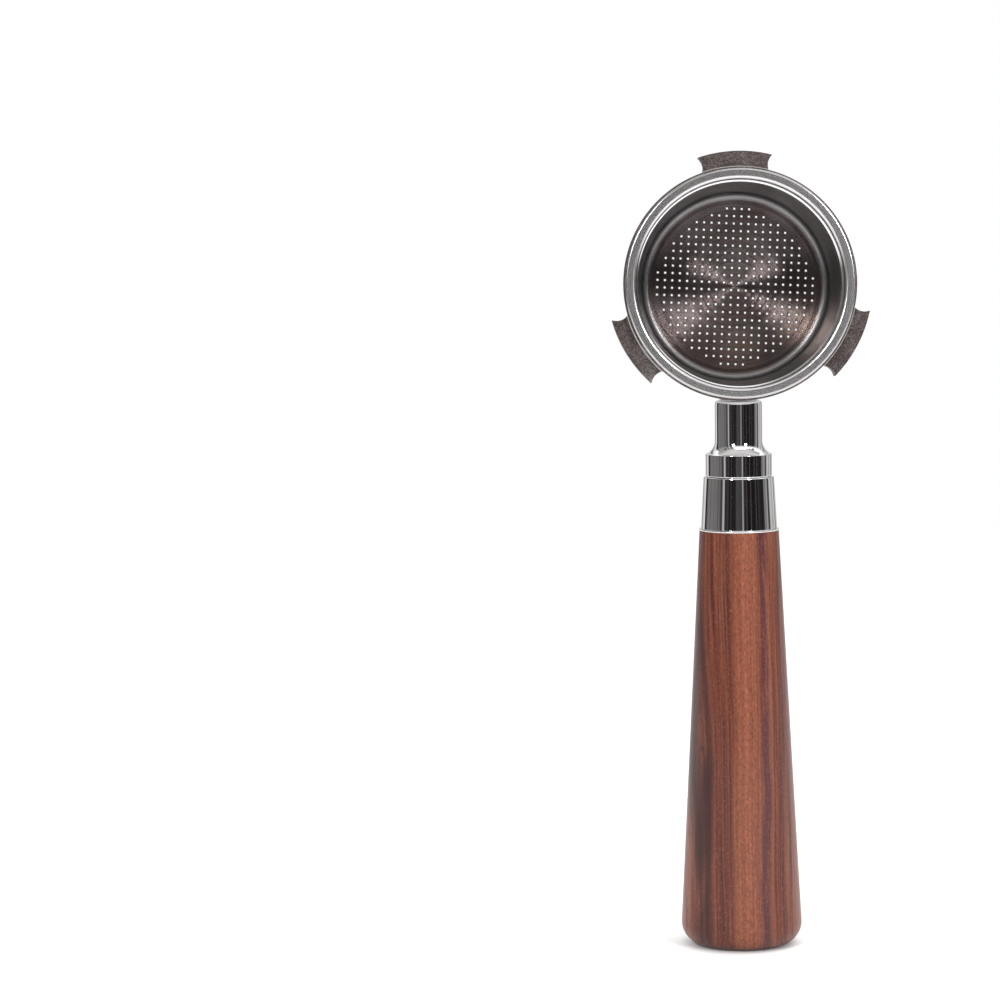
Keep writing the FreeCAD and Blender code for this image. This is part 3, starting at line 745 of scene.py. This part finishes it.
def arc(first, last, radius, side, count):
    """Points of the shorter arc between two section points, its ends left out. side is 1
    where it bulges to the left of the run and -1 to the right."""
    a, b = Vector(first), Vector(last)
    chord = b - a
    left = Vector((-chord.y, chord.x)).normalized()
    sink = math.sqrt(radius ** 2 - (chord.length / 2) ** 2)
    centre = (a + b) / 2 - left * (sink * side)
    begin = math.atan2(a.y - centre.y, a.x - centre.x)
    sweep = math.atan2(b.y - centre.y, b.x - centre.x) - begin
    sweep = (sweep + math.pi) % (2 * math.pi) - math.pi
    return [(centre.x + radius * math.cos(begin + sweep * n / (count + 1)),
             centre.y + radius * math.sin(begin + sweep * n / (count + 1)))
            for n in range(1, count + 1)]


# ---------------------------------------------------------------- the head's pieces

HEAD_SIDES = 256


def make_head_ring(finish):
    """The open ring with its spring groove and the three bayonet lugs, joined into one."""
    bore, edge_round = 28.6, 0.45
    groove, groove_half, groove_round, lip_round = 29.654, 0.9, 0.1, 0.08
    back = RING_TOP - RING_DEPTH
    high, low = SPRING_HEIGHT + groove_half, SPRING_HEIGHT - groove_half
    ring = turned("head_ring_visual", [
        (bore, back, edge_round), (RING_BACK, back, edge_round),
        (RING_FRONT, RING_TOP, edge_round), (bore, RING_TOP, edge_round),
        (bore, high, lip_round), (groove, high, groove_round),
        (groove, low, groove_round), (bore, low, lip_round),
    ], finish, sides=HEAD_SIDES, steps=4)
    close_up(ring)
    lugs = add_object("lugs", lug_mesh())
    lugs.data.materials.append(finish)
    edge = lugs.modifiers.new("edge", "BEVEL")
    edge.width = 0.28 * MM
    edge.segments = 3
    edge.limit_method = "ANGLE"
    edge.angle_limit = math.radians(38)
    plain(lugs)
    union = ring.modifiers.new("union", "BOOLEAN")
    union.operation = "UNION"
    union.solver = "EXACT"
    union.object = lugs
    plain(ring)
    bpy.data.objects.remove(lugs)
    close_up(ring, crease=30.0, place=HEAD_PLACE)
    return ring


def lug_mesh():
    """Three lugs as plain prisms: a curved tip and hollow sides down to the ring."""
    foot_radius, low, high = 30.3, 4.5, 10.0
    scallop, waist = 3.62, 2.8      # a side's hollow, and how far its middle is below the tip
    half, first_turn = math.radians(32.5 / 2), 1.5
    side_steps, tip_steps, foot_steps = 16, 24, 16

    def point(bearing, radius):
        return Vector((math.sin(bearing), math.cos(bearing))) * radius

    tip = point(half, LUG_TIP)
    hollow = Vector((tip.x + math.sqrt(scallop ** 2 - waist ** 2), tip.y - waist))
    first = math.atan2(tip.y - hollow.y, tip.x - hollow.x)
    away = hollow.length
    opening = (away ** 2 + foot_radius ** 2 - scallop ** 2) / (2 * away * foot_radius)
    bearing = math.atan2(hollow.x, hollow.y) - math.acos(opening)
    foot = point(bearing, foot_radius)
    last = math.atan2(foot.y - hollow.y, foot.x - hollow.x) % (2 * math.pi)
    side = [hollow + Vector((math.cos(a), math.sin(a))) * scallop
            for a in (first + (last - first) * n / side_steps for n in range(side_steps + 1))]
    top = [point(-half + 2 * half * n / tip_steps, LUG_TIP) for n in range(1, tip_steps)]
    left = [Vector((-p.x, p.y)) for p in reversed(side)]
    bottom = [point(bearing - 2 * bearing * n / foot_steps, foot_radius)
              for n in range(1, foot_steps)]
    outline = left + top + side + bottom
    work = bmesh.new()
    for number in range(3):
        turn = Matrix.Rotation(math.radians(first_turn + 120 * number), 3, "Z")
        upper = [work.verts.new(turn @ Vector((p.x, p.y, high)) * MM) for p in outline]
        lower = [work.verts.new(turn @ Vector((p.x, p.y, low)) * MM) for p in outline]
        work.faces.new(upper)
        work.faces.new(list(reversed(lower)))
        for n in range(len(outline)):
            m = (n + 1) % len(outline)
            work.faces.new((upper[m], upper[n], lower[n], lower[m]))
    bmesh.ops.recalc_face_normals(work, faces=work.faces)
    mesh = bpy.data.meshes.new("lugs")
    work.to_mesh(mesh)
    work.free()
    return mesh


def make_spring(finish):
    """The split wire ring in the groove, its gap as the CAD piece has it."""
    radius, wire_radius, sweep, count = 28.604, 0.7, math.radians(336), 240
    # the first and last steps are cut in four, because the wire is domed there
    steps = [0.0, 0.25, 0.5, 0.75, *range(1, count)]
    steps += [count - 0.75, count - 0.5, count - 0.25, count]
    angles = [sweep * step / count for step in steps]
    points = [(radius * math.cos(a) * MM, radius * math.sin(a) * MM, SPRING_HEIGHT * MM)
              for a in angles]
    mesh = bpy.data.meshes.new("line")
    mesh.from_pydata(points, [(n, n + 1) for n in range(len(points) - 1)], [])
    spring = grow("basket_spring_visual", mesh, WIRE, finish, Wire_radius=wire_radius * MM)
    close_up(spring, crease=60.0, place=HEAD_PLACE)
    return spring


def make_basket(finish):
    """The pressing, turned round its mouth, with the pierced floor closed into it."""
    sheet, flat = 0.7, 23.2                 # the sheet's thickness; the floor's flat part
    foot, toe_top, toe_round = 25.4, FLOOR + 2.2, 2.2
    upright, bend_round = 1.6, 1.5          # the wall is upright above this height
    bead, throat, collar = 27.11, 27.5, 28.2
    rim_inside, rim_edge, rim_top = 28.6, 30.5, 13.0
    lip = (throat, rim_top - 1.1)
    neck_low, neck_high = (MOUTH_RADIUS + sheet, 7.6), (collar, 10.0)
    heel, under = (foot + sheet, toe_top), (flat, FLOOR - sheet)
    inside = [(flat, FLOOR)]
    inside += arc((flat, FLOOR), (foot, toe_top), toe_round, -1, 7)
    inside += [(foot, toe_top), (MOUTH_RADIUS, upright, bend_round),
               (MOUTH_RADIUS, 7.5, 0.5), (bead, 8.3, 0.4), (bead, 9.0, 0.12),
               (throat, 9.25, 0.06), lip]
    inside += arc(lip, (rim_inside, rim_top), 1.1, 1, 6)
    rim = [(rim_inside, rim_top), (rim_edge, rim_top, 0.6), (rim_edge, RING_TOP, 0.18),
           (collar, RING_TOP, 0.12)]
    outside = [(*neck_high, 0.3)] + arc(neck_high, neck_low, 2.6, -1, 7)
    outside += [(*neck_low, 0.3), (MOUTH_RADIUS + sheet, upright, bend_round), heel]
    outside += arc(heel, under, toe_round + sheet, 1, 8) + [under]
    wall = turned("wall", inside + rim + outside, finish, closed=False, sides=HEAD_SIDES)
    wall.data.transform(Matrix.Translation((0, 0, -FLOOR * MM)))
    basket = grow("filter_basket_visual", wall.data, PIERCED, finish,
                  Floor_radius=flat * MM, Sides=HEAD_SIDES, Sheet=sheet * MM, Rows=22,
                  Pitch=2.0 * MM, Reach=103.0, Side_row_half=1.5, Hole_radius=0.3 * MM,
                  Sunk_edge=0.09 * MM, Turn=math.radians(-2.9))
    bpy.data.objects.remove(wall)
    close_up(basket, place=HEAD_PLACE @ Matrix.Translation((0, 0, FLOOR * MM)))
    return basket


def ring_underside(x, y):
    """Height of the ring's drafted outside above a point, taken a little inside the ring."""
    tilt_sin, tilt_cos = math.sin(MOUTH_TILT), math.cos(MOUTH_TILT)
    inset = 0.1
    outside = RING_FRONT * MM
    # the radius depends on how far out the point is, so each pass comes closer
    for _ in range(4):
        rise = -(math.sqrt(outside ** 2 - x * x) + y * tilt_sin) / tilt_cos
        out = (rise * tilt_sin - y * tilt_cos) / MM
        draft = (RING_FRONT - RING_BACK) * (RING_TOP - out) / RING_DEPTH
        outside = (RING_FRONT - draft - inset) * MM
    return MOUTH_CENTRE.z + rise


def make_neck(finish):
    """The chromed neck: collar, hollow flare, round body and a spigot shaped to the ring."""
    low, high = box_mm("neck")
    base, collar = low.z, high.x
    flare_low, flare_high, flare_round = base + 6.0, base + 9.2, 4.1
    body, end, spigot = 6.35, base + 20.5, 5.0
    bore_end, drill_point = base + 14.0, 2.4
    top = MOUTH_CENTRE.z / MM - 29.5        # the spigot's end, before it's shaped to the ring
    corners = [(0.0, bore_end + drill_point), (STUD_BORE, bore_end), (STUD_BORE, base, 0.3),
               (collar, base, 0.35), (collar, flare_low, 0.12)]
    corners += arc((collar, flare_low), (body, flare_high), flare_round, 1, 12)
    corners += [(body, flare_high, 0.2), (body, end, 1.0), (spigot, end, 0.25),
                (spigot, top), (0.0, top)]
    neck = turned("neck_visual", corners, finish, closed=False, sides=160, steps=6)
    for vertex in neck.data.vertices:
        if vertex.co.z > (top - 0.2) * MM:
            vertex.co.z = ring_underside(vertex.co.x, vertex.co.y)
    close_up(neck)
    return neck


def thread_blank(radius, bottom, top, count):
    """Points up a blank's outside, close enough together for a thread to be cut into it."""
    return [(radius, bottom + (top - bottom) * n / count) for n in range(count + 1)]


def make_stud(finish):
    """The M8 stud with its real thread, cut by rule into a turned blank."""
    low, high = box_mm("neck_stud")
    radius, tip, chamfer, pitch, depth = 4.0, 3.2, 0.8, 1.25, 0.62
    bottom, top = low.z + chamfer, high.z - chamfer
    count = int((top - bottom) / pitch * 9)
    corners = [(0.0, low.z), (tip, low.z), *thread_blank(radius, bottom, top, count),
               (tip, high.z), (0.0, high.z)]
    blank = turned("blank", corners, finish, closed=False, sides=48)
    stud = grow("neck_stud_visual", blank.data, THREADED, finish, Radius=radius * MM,
                Depth=depth * MM, Pitch=pitch * MM, Low=bottom * MM, High=top * MM)
    bpy.data.objects.remove(blank)
    close_up(stud, crease=50.0)
    return stud


# ---------------------------------------------------------------- the handle's pieces

CAP_BORE = 8.2      # the ferrule and the trim ring go round the grip's tenon
TENON = 8.0


def make_ferrule(finish):
    """The tapered cap, open below, with a hole in its top for the stud."""
    low, high = box_mm("ferrule")
    hole, top_radius, top_sheet = 4.3, 9.45, 2.5
    under = high.z - top_sheet
    ferrule = turned("ferrule_visual", [
        (hole, high.z, 0.3), (hole, under, 0.1), (CAP_BORE, under, 0.4),
        (CAP_BORE, low.z, 0.1), (high.x, low.z, 0.12), (top_radius, high.z, 0.32),
    ], finish, steps=6)
    close_up(ferrule)
    return ferrule


def make_trim_ring(finish):
    """The thin flat ring between the ferrule and the wood."""
    low, high = box_mm("trim_ring")
    edge_round, bore_round = 0.2, 0.05
    ring = turned("trim_ring_visual", [
        (CAP_BORE, low.z, bore_round), (high.x, low.z, edge_round),
        (high.x, high.z, edge_round), (CAP_BORE, high.z, bore_round),
    ], finish)
    close_up(ring)
    return ring


def make_grip(finish):
    """The turned wooden grip, with its tenon and the bore for the insert."""
    low, high = box_mm("grip")
    shoulder = box_mm("trim_ring")[0].z
    foot, top, foot_round, rows = 16.58, 10.66, 6.0, 24
    bore, bore_end, drill_end = 6.03, 97.1, 93.5
    side = [(foot + (top - foot) * n / rows, shoulder * n / rows) for n in range(2, rows)]
    corners = [(0.0, low.z), (9.3, low.z), (foot, low.z, foot_round), *side,
               (top, shoulder, 0.25), (TENON, shoulder, 0.15), (TENON, high.z, 0.6),
               (bore, high.z, 0.3), (bore, bore_end), (0.0, drill_end)]
    grip = turned("grip_visual", corners, finish, closed=False, steps=12)
    close_up(grip)
    return grip


def make_insert(finish):
    """The brass insert with a coarse outside thread that bites into the wood."""
    low, high = box_mm("grip_insert")
    radius, pitch, depth, count = 6.0, 2.0, 0.8, 92
    tip, shoulder, mouth, lead_in = 5.2, 5.7, 4.75, 0.8
    bottom, top = low.z + lead_in, high.z - 0.6
    corners = [(STUD_BORE, low.z, 0.2), (tip, low.z), *thread_blank(radius, bottom, top, count),
               (shoulder, high.z, 0.1), (mouth, high.z, 0.1), (STUD_BORE, high.z - lead_in)]
    blank = turned("blank", corners, finish, sides=64, steps=3)
    insert = grow("grip_insert_visual", blank.data, THREADED, finish, Radius=radius * MM,
                  Depth=depth * MM, Pitch=pitch * MM, Low=bottom * MM, High=(top - 0.3) * MM)
    bpy.data.objects.remove(blank)
    close_up(insert, crease=50.0)
    return insert


# ---------------------------------------------------------------- assembly

def fit(piece, node, body):
    """Puts a piece in its CAD node's stead, on the body it moves with."""
    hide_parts(node)
    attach(piece, body)


fit(make_head_ring(cast_steel()), "head_ring", "head")
fit(make_spring(spring_steel()), "basket_spring", "spring")
fit(make_basket(pressed_steel()), "filter_basket", "basket")
fit(make_neck(chrome("neck_chrome")), "neck", "head")
fit(make_stud(zinc_steel()), "neck_stud", "head")
fit(make_ferrule(chrome("ferrule_chrome")), "ferrule", "ferrule")
fit(make_trim_ring(polished_steel()), "trim_ring", "grip")
fit(make_grip(rosewood()), "grip", "grip")
fit(make_insert(brass()), "grip_insert", "grip")


# ---------------------------------------------------------------- floor, light and camera

def make_floor():
    """A plain pale disc under the handle's end. It glows a little, so that it is as white as
    the room behind it."""
    radius, gap = 1.15, 0.00002     # in metres
    work = bmesh.new()
    bmesh.ops.create_circle(work, cap_ends=True, segments=128, radius=radius)
    mesh = bpy.data.meshes.new("floor")
    work.to_mesh(mesh)
    work.free()
    floor = add_object("floor", mesh)
    material, start = new_finish("pale_floor")
    lay_on(start, Base_Color=(0.90, 0.90, 0.90), Roughness=0.75, Specular_IOR_Level=0.2,
           Emission_Color=WHITE, Emission_Strength=0.07)
    mesh.materials.append(material)
    floor.location.z = CAD_BOX[0].z - gap


def make_room():
    """A white studio. What the polished metal sees is banded round the upright axis, with
    dark flags in front, a grey wall on the left, a white one on the right and behind, and a
    soft ceiling."""
    world = bpy.data.worlds.new("studio")
    bpy.context.scene.world = world
    world.use_nodes = True
    world.node_tree.nodes.clear()
    start = Wire(world.node_tree)
    x, y, z = start.make("ShaderNodeTexCoord").parts()
    bearing = x.value("ARCTAN2", y * -1.0) / (2 * math.pi) + 0.5
    # a bearing in degrees and how bright the wall is there: 0 is the front, right is positive
    bands = [(-180, 0.85), (-166, 0.80), (-164, 0.12), (-157, 0.16), (-155, 0.80),
             (-137, 0.85), (-133, 0.02), (-124, 0.02), (-121, 0.21),
             (-66, 0.16), (-62, 0.02), (-58, 0.03), (-56, 0.50), (-51, 0.45), (-49, 0.02),
             (-14, 0.012), (-11, 0.07), (6, 0.05), (8, 0.45), (10, 0.40),
             (11, 0.010), (80, 0.012), (86, 0.30), (97, 0.40), (99, 0.04), (106, 0.05),
             (110, 0.62), (137, 0.70), (139, 0.22), (146, 0.26), (148, 0.72), (180, 0.85)]
    stops = [((a + 180) / 360, (v * 1.02, v, v * 0.98)) for a, v in bands]
    walls = bearing.ramp(stops)
    # narrow warm and cool stripes, as the crowded front of a studio gives
    stripe = bearing.line_noise(46.0, 4.0).ease(0.50, 0.72)
    cool = (bearing + 3.7).line_noise(30.0, 3.0).ease(0.50, 0.70)
    walls = walls.blend((0.105, 0.075, 0.078), stripe * 0.65)
    walls = walls.blend((0.070, 0.072, 0.085), cool * 0.45)
    ceiling = z.ease(0.42, 0.66)
    # a dark flag hangs high on the left, for what the metal mirrors
    camera_ray = start.make("ShaderNodeLightPath")
    flag = bearing.ease(0.12, 0.16) * bearing.ease(0.44, 0.38)
    ceiling = ceiling * (1.0 - flag * camera_ray.also("Is Glossy Ray") * 0.85)
    ground = z.ease(-0.35, -0.55)
    seen = walls.blend((1.25, 1.25, 1.25), ceiling).blend((0.5, 0.5, 0.5), ground)
    mirrored = start.make("ShaderNodeBackground", inputs={"Color": seen})
    plain_white = start.make("ShaderNodeBackground", inputs={"Color": WHITE})
    both = start.make("ShaderNodeMixShader", inputs={
        0: camera_ray, 1: mirrored, 2: plain_white})
    start.make("ShaderNodeOutputWorld", inputs={"Surface": both})


def make_light(name, place, aim, size, power, glossy=True):
    """A soft rectangular studio light."""
    data = bpy.data.lights.new(name, "AREA")
    data.shape = "RECTANGLE"
    data.size, data.size_y = size
    data.energy = power
    light = add_object(name, data)
    light.location = place
    towards = Vector(aim) - Vector(place)
    light.rotation_mode = "QUATERNION"
    light.rotation_quaternion = towards.to_track_quat("-Z", "Y")
    light.visible_camera = False
    light.visible_glossy = glossy


def make_camera():
    """A long lens one metre in front, looking down a little and turned slightly to one side."""
    place = (-0.06427, -1.000, 0.20847)
    pitch, roll = math.radians(4.975), math.radians(0.69)
    data = bpy.data.cameras.new("camera")
    data.sensor_width = 36.0
    data.lens = 134.35
    data.clip_start = 0.01
    camera = add_object("camera", data)
    forward = Vector((0.0, math.cos(pitch), -math.sin(pitch)))
    level = Vector((1.0, 0.0, 0.0))
    above = Vector((0.0, math.sin(pitch), math.cos(pitch)))
    right = level * math.cos(roll) - above * math.sin(roll)
    up = level * math.sin(roll) + above * math.cos(roll)
    turn = Matrix((right, up, -forward)).transposed().to_4x4()
    camera.matrix_world = Matrix.Translation(place) @ turn
    bpy.context.scene.camera = camera


make_floor()
make_room()
softbox, softbox_power = (0.16, 0.22), 3.6
make_light("left_softbox", (-0.45, -0.80, 0.56), MOUTH_CENTRE, softbox, softbox_power)
make_light("right_softbox", (0.50, -0.80, 0.52), MOUTH_CENTRE, softbox, softbox_power)
make_light("overhead", (0.35, 0.0, 1.3), ORIGIN, (1.2, 1.2), 7.4, glossy=False)
make_camera()
bpy.context.scene.view_settings.view_transform = "Standard"
